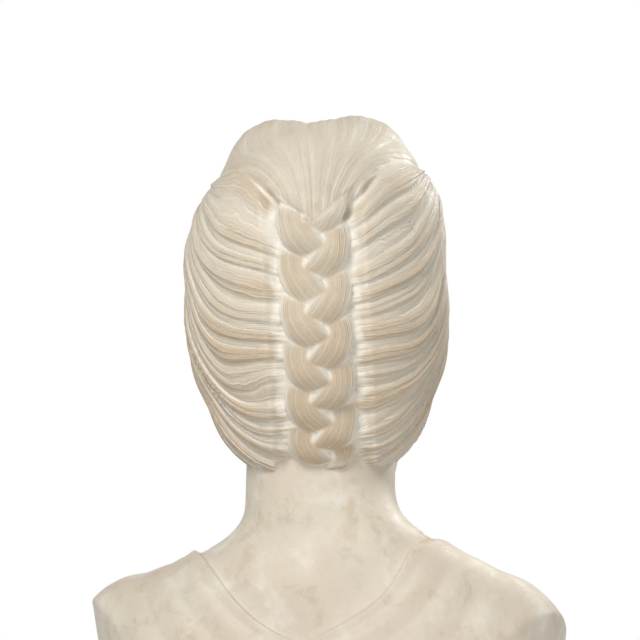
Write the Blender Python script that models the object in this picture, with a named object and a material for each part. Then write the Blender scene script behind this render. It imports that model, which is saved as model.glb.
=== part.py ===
"""A life-size marble bust of a woman with a plait up the back of her head, on a turned marble socle.

The bust is one carved block. It stands on the socle, and the socle on a square plinth, each on a thin bed
of lime mortar. A threaded rod set in the bust runs down through both and is drawn tight by a nut and a
washer in a recess under the plinth, which a sheet of felt covers.

Units are metres and +Z is up. The origin is the middle of the felt's underside, and the chest faces -Y.
The sitter's left is +X.
"""

import math

import bmesh
import bpy
from mathutils import Matrix, Quaternion, Vector

# ---------------------------------------------------------------- driving dimensions

FELT_THICK = 0.003
PLINTH_SIDE = 0.190
PLINTH_HEIGHT = 0.024
PLINTH_CHAMFER = 0.0025
MORTAR_THICK = 0.0016
GAP = 0.0003  # between pieces that touch
SOCLE_HEIGHT = 0.116
BUST_HEIGHT = 0.509
EYES_BELOW_TOP = 0.130

PLINTH_BOTTOM = FELT_THICK + GAP
PLINTH_TOP = PLINTH_BOTTOM + PLINTH_HEIGHT
SOCLE_BOTTOM = PLINTH_TOP + MORTAR_THICK + 2 * GAP
SOCLE_TOP = SOCLE_BOTTOM + SOCLE_HEIGHT
BUST_BOTTOM = SOCLE_TOP + MORTAR_THICK + 2 * GAP
EYE_LEVEL = BUST_BOTTOM + BUST_HEIGHT - EYES_BELOW_TOP

SOCLE_FOOT_R = 0.084
SOCLE_WAIST_R = 0.043
SOCLE_HEAD_R = 0.066
FOOT_TORUS_R = 0.012
HEAD_TORUS_R = 0.008
FILLET_STEP = 0.003
FILLET_HEIGHT = 0.004
WAIST_SHARE = 0.62  # how far up the hollow its narrowest ring lies
HOLLOW_STEPS = 12

ROD_R = 0.006
ROD_CLEAR_R = 0.009  # bore through the socle, the plinth and the mortar beds
ROD_SOCKET_R = 0.011  # blind hole in the bust, filled round the rod
ROD_SOCKET_DEEP = 0.095
ROD_IN_BUST = 0.090
NUT_ACROSS_FLATS = 0.019
NUT_THICK = 0.0095
WASHER_R = 0.016
WASHER_THICK = 0.0025
RECESS_R = 0.0195
RECESS_DEEP = 0.016

HEAD_TURN = math.radians(12.0)  # towards the sitter's left
HEAD_TILT = math.radians(2.8)  # towards the sitter's left
NECK_PIVOT = Vector((0.0, 0.015, -0.110))  # where the head turns and tilts, from the eyes' centre

CLAY_RESOLUTION = 0.005  # the finest step that Blender's metaballs take
CLAY_REACH = 1.129  # a mass's influence as a share of its radii: how far it blends
CLAY_STIFFNESS = 10.0
CLAY_THRESHOLD = 0.1  # with this reach and stiffness, a lone mass keeps its own radii
VOXEL = 0.0042
SMOOTHING = 3
BUST_TRIANGLES = 9000
ROUND_STEPS = 56

BODY_TO_WORLD = Matrix.Translation((0, 0, EYE_LEVEL))
HEAD_TO_WORLD = (
    BODY_TO_WORLD
    @ Matrix.Translation(NECK_PIVOT)
    @ Matrix.Rotation(HEAD_TURN, 4, "Z")
    @ Matrix.Rotation(HEAD_TILT, 4, "Y")
    @ Matrix.Translation(-NECK_PIVOT)
)

# ---------------------------------------------------------------- the carved masses
# Each mass is (centre, radii), measured from the point between the eyes. A mass off the middle plane
# is made on both sides.

FACE_MASSES = (
    ((0, 0.008, 0.028), (0.074, 0.094, 0.084)),  # skull
    ((0, -0.031, 0.042), (0.059, 0.062, 0.050)),  # forehead
    ((0, -0.028, -0.032), (0.060, 0.057, 0.060)),  # face from ear to ear
    ((0, -0.044, -0.050), (0.045, 0.043, 0.060)),  # middle of the face
    ((0.037, -0.053, -0.026), (0.023, 0.023, 0.017)),  # cheekbone
    ((0.030, -0.050, -0.056), (0.023, 0.030, 0.026)),  # cheek
    ((0, -0.068, -0.066), (0.029, 0.026, 0.024)),  # mouth's rounding
    ((0, -0.080, -0.096), (0.021, 0.0165, 0.0145)),  # chin
    ((0.031, -0.0700, 0.000), (0.0155, 0.0130, 0.0115)),  # eye
    ((0.008, -0.0930, -0.0615), (0.0135, 0.0070, 0.0052)),  # upper lip
    ((0.0, -0.0920, -0.0725), (0.0170, 0.0075, 0.0058)),  # lower lip
    ((0, -0.1050, -0.0375), (0.0090, 0.0105, 0.0085)),  # tip of the nose
    ((0.0095, -0.0950, -0.0410), (0.0080, 0.0090, 0.0070)),  # wing of the nose
)

# Each limb is (start, start radius, end, end radius): a row of balls that blend into one bar.
HEAD_LIMBS = (
    ((0, -0.0850, 0.013), 0.0095, (0, -0.1020, -0.0330), 0.0090),  # bridge of the nose
    ((0.014, -0.0820, 0.0190), 0.0095, (0.045, -0.0660, 0.0170), 0.0095),  # brow
    ((0.038, -0.014, -0.062), 0.0160, (0.011, -0.072, -0.092), 0.0150),  # jaw
)

HAIR_MASSES = (
    ((0, 0.008, 0.037), (0.0920, 0.102, 0.0860)),  # crown and temples
    ((0, 0.018, -0.019), (0.0920, 0.092, 0.1080)),  # back of the head
    ((0, 0.030, -0.082), (0.0700, 0.060, 0.0500)),  # roll at the nape
    ((0.031, -0.016, 0.088), (0.0380, 0.060, 0.0390)),  # waves beside the parting
    ((0.054, -0.028, 0.054), (0.0350, 0.051, 0.0390)),  # waves over the temple
    ((0.027, -0.046, 0.072), (0.0360, 0.046, 0.0310)),  # waves over the forehead
)

FACE_OPENING_FRONT = (0.067, 0.088, -0.108)  # half width, half height and place along Y of the mouth
FACE_OPENING_BACK = (0.052, 0.062, -0.004)
FACE_OPENING_CENTRE_Z = -0.028
HAIR_LOWER_EDGE = (Vector((0, -0.052, 0.020)), Vector((0, 0.030, -0.128)))  # seen from the side

BODY_LIMBS = (
    ((0.002, 0.012, -0.080), 0.0530, (0, 0.029, -0.200), 0.0540),  # neck
    ((-0.042, 0.044, -0.180), 0.0250, (-0.128, 0.034, -0.228), 0.0280),  # raised right shoulder
    ((0.040, 0.046, -0.200), 0.0250, (0.128, 0.034, -0.240), 0.0280),  # lowered left shoulder
    ((-0.052, 0.004, -0.090), 0.0070, (-0.012, -0.0290, -0.200), 0.0065),  # right neck tendon
    ((0.050, 0.014, -0.090), 0.0060, (0.012, -0.0290, -0.200), 0.0060),  # left neck tendon
)
BODY_MASSES = (
    ((0, 0.030, -0.216), (0.084, 0.060, 0.048)),  # root of the neck
    ((0, 0.012, -0.312), (0.150, 0.094, 0.122)),  # rib cage
    ((0.136, 0.022, -0.280), (0.052, 0.052, 0.064)),  # shoulder
    ((0.054, -0.046, -0.322), (0.064, 0.048, 0.070)),  # breast
    ((0, -0.040, -0.322), (0.070, 0.046, 0.080)),  # cloth across the breast
    ((0.060, 0.056, -0.282), (0.080, 0.048, 0.080)),  # shoulder blade
    ((0, 0.010, -0.375), (0.150, 0.110, 0.080)),  # stone behind the lower edge
)
COLLARBONE = ((0.018, -0.0370, -0.2080), 0.0070, (0.112, -0.0080, -0.2200), 0.0080)

# Half widths of the envelope that the chest is cut to: (height above the bust's foot, along X, along Y).
CHEST_CUT = (
    (0.000, 0.056, 0.050),
    (0.006, 0.057, 0.051),
    (0.014, 0.066, 0.058),
    (0.030, 0.098, 0.078),
    (0.055, 0.132, 0.096),
    (0.085, 0.156, 0.108),
    (0.120, 0.170, 0.116),
    (0.160, 0.176, 0.122),
    (0.200, 0.240, 0.200),
    (0.560, 0.240, 0.200),
)

PLAIT_LOBES_A_SIDE = 6
PLAIT_TOP_Z = 0.066
PLAIT_BOTTOM_Z = -0.120
PLAIT_LOBE = (0.0105, 0.0090, 0.0205)
PLAIT_HALF_WIDTH = 0.0115
PLAIT_LOBE_LEAN = math.radians(48.0)
PLAIT_SUNK = 0.0015


def back_of_hair(height):
    """How far behind the eyes' centre the hair's middle line lies at this height."""
    reaches = []
    for (x, y, z), (_, deep, tall) in HAIR_MASSES:
        if x == 0 and abs(height - z) < tall:
            reaches.append(y + deep * math.sqrt(1 - ((height - z) / tall) ** 2))
    return max(reaches)


# ---------------------------------------------------------------- materials


def make_material(name, colour, roughness, metallic=0.0):
    made = bpy.data.materials.new(name)
    made.use_nodes = True
    shader = made.node_tree.nodes["Principled BSDF"]
    shader.inputs["Base Color"].default_value = (*colour, 1.0)
    shader.inputs["Roughness"].default_value = roughness
    shader.inputs["Metallic"].default_value = metallic
    return made


# ---------------------------------------------------------------- shape helpers


def add_object(name, mesh_edit, made_of=None, helper=False):
    mesh = bpy.data.meshes.new(name)
    bmesh.ops.recalc_face_normals(mesh_edit, faces=mesh_edit.faces)
    mesh_edit.to_mesh(mesh)
    mesh_edit.free()
    made = bpy.data.objects.new(name, mesh)
    bpy.context.scene.collection.objects.link(made)
    if made_of is not None:
        mesh.materials.append(made_of)
    if helper:
        made.hide_render = True
        made.display_type = "WIRE"
    return made


def cut(target, cutter, operation="DIFFERENCE"):
    modifier = target.modifiers.new(cutter.name, "BOOLEAN")
    modifier.operation = operation
    modifier.object = cutter
    modifier.solver = "EXACT"


def apply_modifiers(target):
    """Makes the evaluated mesh the object's own, so that the next step can start from it."""
    graph = bpy.context.evaluated_depsgraph_get()
    mesh = bpy.data.meshes.new_from_object(target.evaluated_get(graph))
    target.modifiers.clear()
    target.data = mesh


def shade_round(target, angle=math.radians(35)):
    target.data.shade_smooth()
    target.data.set_sharp_from_angle(angle=angle)


def turned(name, outline, made_of, steps=ROUND_STEPS):
    """A ring turned about Z from a closed outline of (radius, height)."""
    mesh_edit = bmesh.new()
    corners = [mesh_edit.verts.new((radius, 0, height)) for radius, height in outline]
    edges = [mesh_edit.edges.new((a, b)) for a, b in zip(corners, corners[1:] + corners[:1])]
    bmesh.ops.spin(
        mesh_edit,
        geom=corners + edges,
        axis=(0, 0, 1),
        cent=(0, 0, 0),
        angle=math.tau,
        steps=steps,
        use_merge=True,
    )
    bmesh.ops.remove_doubles(mesh_edit, verts=mesh_edit.verts, dist=1e-6)
    return add_object(name, mesh_edit, made_of)


def cylinder(name, radius, low, high, steps=32, made_of=None, helper=False):
    mesh_edit = bmesh.new()
    place = Matrix.Translation((0, 0, (low + high) / 2))
    bmesh.ops.create_cone(
        mesh_edit,
        cap_ends=True,
        segments=steps,
        radius1=radius,
        radius2=radius,
        depth=high - low,
        matrix=place,
    )
    return add_object(name, mesh_edit, made_of, helper)


def loft(name, rings, made_of=None, helper=False):
    """A closed skin over rings of points, each with as many points as the next."""
    mesh_edit = bmesh.new()
    loops = [[mesh_edit.verts.new(point) for point in ring] for ring in rings]
    for below, above in zip(loops, loops[1:]):
        for i, corner in enumerate(below):
            j = (i + 1) % len(below)
            mesh_edit.faces.new((corner, below[j], above[j], above[i]))
    mesh_edit.faces.new(reversed(loops[0]))
    mesh_edit.faces.new(loops[-1])
    return add_object(name, mesh_edit, made_of, helper)


def both_sides(point):
    """The point, and its mirror image if it is off the middle plane."""
    x, y, z = point
    return [(x, y, z)] if x == 0 else [(x, y, z), (-x, y, z)]


def new_clay(name):
    """An empty metaball object. Its masses blend where they meet, as lumps of clay do."""
    clay = bpy.data.metaballs.new(name)
    clay.resolution = CLAY_RESOLUTION
    clay.render_resolution = CLAY_RESOLUTION
    clay.threshold = CLAY_THRESHOLD
    made = bpy.data.objects.new(name, clay)
    bpy.context.scene.collection.objects.link(made)
    return made


def add_mass(clay, centre, radii, to_world, turn=Quaternion()):
    mass = clay.data.elements.new(type="ELLIPSOID")
    mass.co = to_world @ Vector(centre)
    mass.rotation = to_world.to_quaternion() @ turn
    mass.size_x, mass.size_y, mass.size_z = radii
    mass.radius = CLAY_REACH
    mass.stiffness = CLAY_STIFFNESS


def add_masses(clay, masses, to_world):
    for centre, radii in masses:
        for place in both_sides(centre):
            add_mass(clay, place, radii, to_world)


def add_limb(clay, start, start_radius, end, end_radius, to_world):
    """Balls half a radius apart, so that the row reads as one smooth bar."""
    start, end = Vector(start), Vector(end)
    count = 2 + int(2 * (end - start).length / min(start_radius, end_radius))
    for step in range(count):
        share = step / (count - 1)
        radius = start_radius + share * (end_radius - start_radius)
        add_mass(clay, start.lerp(end, share), (radius,) * 3, to_world)


def add_paired_limb(clay, limb, to_world):
    for start, end in zip(both_sides(limb[0]), both_sides(limb[2])):
        add_limb(clay, start, limb[1], end, limb[3], to_world)


def fired(clay):
    """The clay's surface as a mesh object, one closed skin."""
    bpy.context.view_layer.update()
    graph = bpy.context.evaluated_depsgraph_get()
    mesh = bpy.data.meshes.new_from_object(clay.evaluated_get(graph))
    made = bpy.data.objects.new(clay.name + "_skin", mesh)
    bpy.context.scene.collection.objects.link(made)
    bpy.data.objects.remove(clay)
    made.hide_render = True
    made.display_type = "WIRE"
    one_skin(made)
    return made


def one_skin(target):
    remesh = target.modifiers.new("one_skin", "REMESH")
    remesh.mode = "VOXEL"
    remesh.voxel_size = VOXEL


# ---------------------------------------------------------------- the bust


def hair_block():
    """The cap of hair with its plait, opened in front for the face and below for the neck and jaw."""
    clay = new_clay("hair")
    add_masses(clay, HAIR_MASSES, HEAD_TO_WORLD)
    add_plait(clay)
    hair = fired(clay)
    cut(hair, face_opening())
    cut(hair, space_below_hair())
    apply_modifiers(hair)
    return hair


def face_opening():
    """An oval cone that narrows towards the back."""
    rings = []
    for half_width, half_height, depth in (FACE_OPENING_BACK, FACE_OPENING_FRONT):
        ring = []
        for step in range(48):
            angle = math.tau * step / 48
            across = half_width * math.cos(angle)
            up = FACE_OPENING_CENTRE_Z + half_height * math.sin(angle)
            ring.append(HEAD_TO_WORLD @ Vector((across, depth, up)))
        rings.append(ring)
    return loft("face_opening", rings, helper=True)


def space_below_hair():
    """A block whose upper face is the hair's slanting lower edge, from the temple to the nape."""
    front, back = HAIR_LOWER_EDGE
    along = (back - front).normalized()
    down = Vector((0, along.z, -along.y))
    width, reach = 0.15, 0.12
    rings = []
    for depth in (0.0, reach):
        ring = []
        for side, share in ((-width, -0.10), (width, -0.10), (width, 0.165), (-width, 0.165)):
            corner = front + along * share + down * depth + Vector((side, 0, 0))
            ring.append(HEAD_TO_WORLD @ corner)
        rings.append(ring)
    return loft("space_below_hair", rings, helper=True)


def add_plait(clay):
    """Strands of the plait as leaning lobes, left and right in turn, down the back of the hair."""
    pitch = (PLAIT_TOP_Z - PLAIT_BOTTOM_Z) / PLAIT_LOBES_A_SIDE
    probe = 0.004
    for side, shift in ((1, 0.25), (-1, 0.75)):
        for number in range(PLAIT_LOBES_A_SIDE):
            height = PLAIT_TOP_Z - pitch * (number + shift)
            rise = back_of_hair(height - probe) - back_of_hair(height + probe)
            tip_up = math.atan2(rise, 2 * probe)
            outward = Vector((0, math.cos(tip_up), math.sin(tip_up)))
            middle = Vector((side * PLAIT_HALF_WIDTH, back_of_hair(height), height))
            turn = Quaternion((1, 0, 0), tip_up) @ Quaternion((0, 1, 0), side * PLAIT_LOBE_LEAN)
            add_mass(clay, middle - PLAIT_SUNK * outward, PLAIT_LOBE, HEAD_TO_WORLD, turn)


def flesh_block():
    """Head, neck and chest, which the hair is laid over."""
    clay = new_clay("flesh")
    add_masses(clay, FACE_MASSES, HEAD_TO_WORLD)
    for limb in HEAD_LIMBS:
        add_paired_limb(clay, limb, HEAD_TO_WORLD)
    add_masses(clay, BODY_MASSES, BODY_TO_WORLD)
    for limb in BODY_LIMBS:
        add_limb(clay, *limb, BODY_TO_WORLD)
    add_paired_limb(clay, COLLARBONE, BODY_TO_WORLD)
    flesh = fired(clay)
    apply_modifiers(flesh)
    return flesh


def chest_envelope():
    rings = []
    for height, half_x, half_y in CHEST_CUT:
        ring = []
        for step in range(ROUND_STEPS):
            angle = math.tau * step / ROUND_STEPS
            ring.append((half_x * math.cos(angle), half_y * math.sin(angle), BUST_BOTTOM + height))
        rings.append(ring)
    return loft("chest_envelope", rings, helper=True)


def make_bust(marble):
    """Blocks the masses out, takes one skin over them, then trims the chest and drills for the rod."""
    mesh_edit = bmesh.new()
    mesh_edit.from_mesh(flesh_block().data)
    mesh_edit.from_mesh(hair_block().data)
    bust = add_object("bust", mesh_edit)
    one_skin(bust)
    smooth = bust.modifiers.new("soften", "SMOOTH")
    smooth.iterations = SMOOTHING
    apply_modifiers(bust)

    thin = bust.modifiers.new("thin", "DECIMATE")
    thin.ratio = BUST_TRIANGLES / (2 * len(bust.data.polygons))
    apply_modifiers(bust)

    cut(bust, chest_envelope(), "INTERSECT")
    socket_top = BUST_BOTTOM + ROD_SOCKET_DEEP
    cut(bust, cylinder("rod_socket", ROD_SOCKET_R, BUST_BOTTOM - 0.01, socket_top, helper=True))
    apply_modifiers(bust)
    bust.data.materials.clear()
    bust.data.materials.append(marble)
    shade_round(bust)
    return bust


# ---------------------------------------------------------------- the stand


def arc(centre, radius, start, end, steps):
    """Points of an arc in a profile, from one angle in degrees to another."""
    points = []
    for step in range(steps + 1):
        angle = math.radians(start + (end - start) * step / steps)
        points.append((centre[0] + radius * math.cos(angle), centre[1] + radius * math.sin(angle)))
    return points


def socle_outline():
    """The socle's outline from the foot up: torus, fillet, hollow, fillet and torus, then the bore."""
    low, high = SOCLE_BOTTOM, SOCLE_TOP
    foot_r = SOCLE_FOOT_R - FOOT_TORUS_R
    head_r = SOCLE_HEAD_R - HEAD_TORUS_R
    foot_top = low + 2 * FOOT_TORUS_R
    head_bottom = high - 2 * HEAD_TORUS_R
    outline = [(ROD_CLEAR_R, low)]
    outline += arc((foot_r, low + FOOT_TORUS_R), FOOT_TORUS_R, -90, 90, 8)
    outline += [(foot_r - FILLET_STEP, foot_top), (foot_r - FILLET_STEP, foot_top + FILLET_HEIGHT)]
    outline += hollow(
        (foot_r - 2 * FILLET_STEP, foot_top + FILLET_HEIGHT),
        (head_r - FILLET_STEP, head_bottom - FILLET_HEIGHT),
    )
    outline += [(head_r, head_bottom - FILLET_HEIGHT), (head_r, head_bottom)]
    outline += arc((head_r, high - HEAD_TORUS_R), HEAD_TORUS_R, -90, 90, 6)[1:]
    outline.append((ROD_CLEAR_R, high))
    return outline


def hollow(foot, head):
    """The scotia between two fillets: narrowest at the waist and flaring to both ends."""
    points = []
    for step in range(HOLLOW_STEPS + 1):
        share = step / HOLLOW_STEPS
        radius = SOCLE_WAIST_R
        radius += (foot[0] - SOCLE_WAIST_R) * max(0.0, 1 - share / WAIST_SHARE) ** 2.2
        radius += (head[0] - SOCLE_WAIST_R) * max(0.0, (share - WAIST_SHARE) / (1 - WAIST_SHARE)) ** 2.0
        points.append((radius, foot[1] + share * (head[1] - foot[1])))
    return points


def make_socle(marble):
    socle = turned("socle", socle_outline(), marble)
    shade_round(socle)


def make_plinth(marble):
    mesh_edit = bmesh.new()
    size = Matrix.Diagonal((PLINTH_SIDE, PLINTH_SIDE, PLINTH_HEIGHT, 1))
    middle = Matrix.Translation((0, 0, (PLINTH_BOTTOM + PLINTH_TOP) / 2))
    bmesh.ops.create_cube(mesh_edit, size=1.0, matrix=middle @ size)
    plinth = add_object("plinth", mesh_edit, marble)
    chamfer = plinth.modifiers.new("chamfer", "BEVEL")
    chamfer.width = PLINTH_CHAMFER
    chamfer.segments = 2
    overrun = 0.005
    recess_top = PLINTH_BOTTOM + RECESS_DEEP
    cut(plinth, cylinder("bore", ROD_CLEAR_R, 0, PLINTH_TOP + overrun, helper=True))
    cut(plinth, cylinder("recess", RECESS_R, PLINTH_BOTTOM - overrun, recess_top, helper=True))


def bed(name, outer, top, made_of):
    """A thin ring of mortar that fills the joint under a block whose underside is at top."""
    high = top - GAP
    low = high - MORTAR_THICK
    outline = [(ROD_CLEAR_R, low), (outer, low), (outer, high), (ROD_CLEAR_R, high)]
    turned(name, outline, made_of, steps=48)


def make_fixings(steel, resin):
    rod_top = BUST_BOTTOM + ROD_IN_BUST
    washer_top = PLINTH_BOTTOM + RECESS_DEEP - GAP
    washer_bottom = washer_top - WASHER_THICK
    nut_top = washer_bottom - GAP
    nut_bottom = nut_top - NUT_THICK
    rod_bottom = nut_bottom - 0.002
    cylinder("threaded_rod", ROD_R, rod_bottom, rod_top, made_of=steel)

    inner, outer = ROD_R + GAP, ROD_SOCKET_R - GAP
    low, high = BUST_BOTTOM + GAP, rod_top
    setting = [(inner, low), (outer, low), (outer, high), (inner, high)]
    turned("rod_setting", setting, resin, steps=32)

    washer = [(inner, washer_bottom), (WASHER_R, washer_bottom), (WASHER_R, washer_top), (inner, washer_top)]
    turned("washer", washer, steel, steps=32)

    hexagon_r = NUT_ACROSS_FLATS / math.sqrt(3)
    nut = cylinder("nut", hexagon_r, nut_bottom, nut_top, steps=6, made_of=steel)
    overrun = 0.002
    cut(nut, cylinder("nut_bore", inner, nut_bottom - overrun, nut_top + overrun, helper=True))


def make_felt(felt):
    inset = 0.004
    side = PLINTH_SIDE - 2 * inset
    mesh_edit = bmesh.new()
    place = Matrix.Translation((0, 0, FELT_THICK / 2)) @ Matrix.Diagonal((side, side, FELT_THICK, 1))
    bmesh.ops.create_cube(mesh_edit, size=1.0, matrix=place)
    add_object("base_felt", mesh_edit, felt)


def build():
    for old in list(bpy.data.objects):
        bpy.data.objects.remove(old)
    marble = make_material("marble", (0.72, 0.68, 0.60), 0.55)
    stand_marble = make_material("stand_marble", (0.66, 0.64, 0.60), 0.40)
    mortar = make_material("lime_mortar", (0.74, 0.71, 0.64), 0.90)
    steel = make_material("steel", (0.55, 0.55, 0.56), 0.35, metallic=1.0)
    resin = make_material("setting_resin", (0.45, 0.40, 0.30), 0.60)
    felt = make_material("green_felt", (0.05, 0.12, 0.07), 0.95)

    make_felt(felt)
    make_plinth(stand_marble)
    bed("plinth_mortar", SOCLE_FOOT_R - 0.014, SOCLE_BOTTOM, mortar)
    make_socle(stand_marble)
    bed("socle_mortar", CHEST_CUT[0][2] - 0.004, BUST_BOTTOM, mortar)
    make_bust(marble)
    make_fixings(steel, resin)


build()
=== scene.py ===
import math

import bmesh
import bpy
import numpy as np
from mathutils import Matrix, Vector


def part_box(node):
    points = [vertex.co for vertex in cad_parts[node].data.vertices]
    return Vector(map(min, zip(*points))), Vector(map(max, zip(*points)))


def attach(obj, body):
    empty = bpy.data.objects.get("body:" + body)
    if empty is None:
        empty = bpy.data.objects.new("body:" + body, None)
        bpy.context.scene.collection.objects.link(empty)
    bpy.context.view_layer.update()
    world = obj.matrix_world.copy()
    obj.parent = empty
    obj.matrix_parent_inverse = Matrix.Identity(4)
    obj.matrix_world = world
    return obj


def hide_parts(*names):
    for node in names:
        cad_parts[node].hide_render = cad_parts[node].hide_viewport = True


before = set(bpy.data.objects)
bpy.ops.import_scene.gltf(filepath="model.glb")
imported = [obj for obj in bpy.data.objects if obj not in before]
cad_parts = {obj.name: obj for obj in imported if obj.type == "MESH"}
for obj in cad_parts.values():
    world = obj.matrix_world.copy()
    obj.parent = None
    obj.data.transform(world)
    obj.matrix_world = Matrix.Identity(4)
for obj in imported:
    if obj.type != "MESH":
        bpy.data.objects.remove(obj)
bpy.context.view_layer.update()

import openvdb
from mathutils import Matrix, Vector

# ---------------------------------------------------------------- sizes Lengths are millimetres. The
# sculpture's points have X and Y from the part's own axis and Z from the level of the eyes.

MM = 0.001
BUST_LOW, BUST_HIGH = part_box("bust")
BUST_FOOT = BUST_LOW.z / MM
EYES_ABOVE_FOOT = 379.0
EYE_LEVEL = BUST_FOOT + EYES_ABOVE_FOOT

HEAD_TURN = math.radians(12.0)
HEAD_TILT = math.radians(2.8)
NECK_PIVOT = np.array([0.0, 15.0, -110.0])
TURN = Matrix.Rotation(HEAD_TURN, 3, "Z") @ Matrix.Rotation(HEAD_TILT, 3, "Y")
HEAD_AXES = np.array(TURN)

COARSE_STEP = 3.3
FAR = 60.0
HEAD_FLOOR = -150.0  # the head and its hair are all above this height
NECK_BLEND = 16.0  # fillet between the head and the neck

# ---------------------------------------------------------------- distance functions
# Every function takes points as rows and returns one value for each: the distance to a surface,
# negative inside.


def ball(points, centre, radii):
    offset = (points - centre) / radii
    size = np.linalg.norm(offset, axis=1) + 1e-6
    slope = np.linalg.norm(offset / radii, axis=1) + 1e-8
    return size * (size - 1) / slope


def bar(points, start, start_r, end, end_r):
    start, end = np.array(start), np.array(end)
    along = end - start
    share = np.clip((points - start) @ along / (along @ along), 0, 1)
    gap = points - start - share[:, None] * along
    return np.linalg.norm(gap, axis=1) - (start_r + share * (end_r - start_r))


def join(a, b, soft):
    """The union of two shapes, with a fillet about as wide as soft."""
    overlap = np.maximum(soft - np.abs(a - b), 0) / soft
    return np.minimum(a, b) - overlap * overlap * soft / 4


def carve(a, b, soft):
    """Shape a without shape b."""
    return -join(-a, b, soft)


def fade(value, low, high):
    """0 at low, 1 at high, and smooth between."""
    share = np.clip((value - low) / (high - low), 0, 1)
    return share * share * (3 - 2 * share)


def bell(value, centre, width):
    return np.exp(-(((value - centre) / width) ** 2))


def eased(table, width):
    """The table's columns at every millimetre of its first, with the corners between its rows eased."""
    height = np.arange(table[0, 0], table[-1, 0] + 1)
    columns = [height]
    for column in table.T[1:]:
        padded = np.pad(np.interp(height, table[:, 0], column), width, mode="reflect", reflect_type="odd")
        window = np.hanning(2 * width + 1)
        columns.append(np.convolve(padded, window / window.sum(), mode="valid"))
    return columns


def wobble(a, b, seed):
    """Smooth waves without a visible period, from -1 to 1."""
    first = np.sin(a * 1.31 + 2.1 * np.sin(b * 0.83 + seed) + seed * 1.7)
    second = np.sin(b * 1.73 + 1.6 * np.sin(a * 0.71 + seed * 2.3) + seed)
    return 0.5 * (first + second)


class Clay:
    """A shape built up mass by mass at a fixed set of points. Paired masses use both sides at once."""

    def __init__(self, points):
        self.points = points
        self.folded = points * [0, 1, 1] + np.abs(points) * [1, 0, 0]
        self.value = np.full(len(points), FAR)

    def near(self, low, high, margin, paired):
        points = self.folded if paired else self.points
        inside = (points > np.array(low) - margin) & (points < np.array(high) + margin)
        return points, np.flatnonzero(inside.all(axis=1))

    def work(self, measure, low, high, soft, paired, how):
        points, chosen = self.near(low, high, soft + 20, paired)
        self.value[chosen] = how(self.value[chosen], measure(points[chosen]), soft)

    def add_ball(self, centre, radii, soft, how=join):
        centre, radii = np.array(centre, float), np.array(radii, float)
        self.work(
            lambda p: ball(p, centre, radii), centre - radii, centre + radii, soft, centre[0] > 0, how
        )

    def add_bar(self, start, start_r, end, end_r, soft, how=join, paired=None):
        ends = np.array([start, end], float)
        reach = max(start_r, end_r)
        if paired is None:
            paired = ends[:, 0].max() > 0
        self.work(
            lambda p: bar(p, start, start_r, end, end_r),
            ends.min(0) - reach,
            ends.max(0) + reach,
            soft,
            paired,
            how,
        )


# ---------------------------------------------------------------- the face and the skull

FACE_MASSES = (
    ((0, 8, 28), (74, 94, 84), 1),  # skull
    ((0, -31, 42), (59, 62, 50), 22),  # forehead
    ((0, -28, -32), (60, 57, 60), 22),  # face from ear to ear
    ((0, -44, -50), (45, 43, 60), 20),  # middle of the face
    ((37, -53, -26), (23, 22, 17), 18),  # cheekbone
    ((30, -50, -56), (23, 29, 26), 18),  # cheek
    ((0, -68, -66), (28, 25, 23), 16),  # mouth's rounding
    ((0, -81, -97), (19, 15.5, 14), 14),  # chin
)


def face(points):
    clay = Clay(points)
    for centre, radii, soft in FACE_MASSES:
        clay.add_ball(centre, radii, soft)
    clay.add_bar((39, -13, -62), 15, (11, -72, -93), 14, 18)
    add_brow_and_socket(clay)
    add_nose(clay)
    add_eye(clay)
    add_mouth(clay)
    return clay.value


def add_brow_and_socket(clay):
    clay.add_bar((13, -82, 20), 8.5, (46, -64, 17), 8.5, 16)
    clay.add_ball((30, -94, 1), (19, 14, 11.0), 9, carve)


def add_nose(clay):
    clay.add_bar((0, -84, 15), 8, (0, -100, -31), 8.2, 13)
    clay.add_ball((0, -104.8, -36.8), (8.2, 9.2, 7.6), 7)
    clay.add_ball((9.6, -95, -40.4), (5.4, 9.4, 5.8), 6)
    clay.add_ball((5.4, -98.5, -47.2), (2.6, 5.0, 2.6), 2.6, carve)


def eye_opening(points):
    """How far outside the almond between the lids each point lies, seen from the front."""
    across = (points[:, 0] - 31) / 15.0
    arch = np.sqrt(np.clip(1 - across**2, 0, None) + 0.004)
    upper = 5.2 * arch**1.5 + 0.8 * across - 0.6
    lower = -4.2 * arch**1.7 + 0.8 * across - 0.6
    past_corner = 14 * np.clip(np.abs(across) - 0.93, 0, None)
    return past_corner - join(upper - points[:, 2], points[:, 2] - lower, 0.6)


def add_eye(clay):
    points, chosen = clay.near((12, -97, -20), (52, -48, 24), 0, True)
    near = points[chosen]
    centre = np.array([31.0, -71.0, 0.5])
    globe = ball(near, centre, np.array([17.0, 13.2, 13.0]))
    lids = ball(near, centre, np.array([18.5, 15.2, 14.6]))
    opening = eye_opening(near)
    lids = carve(lids, opening, 1.0)
    value = join(clay.value[chosen], lids, 6)
    value += 1.1 * bell(opening, 4.6, 1.3) * fade(near[:, 2], 1.5, 5.0)
    clay.value[chosen] = join(value, globe, 0.8)


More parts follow.
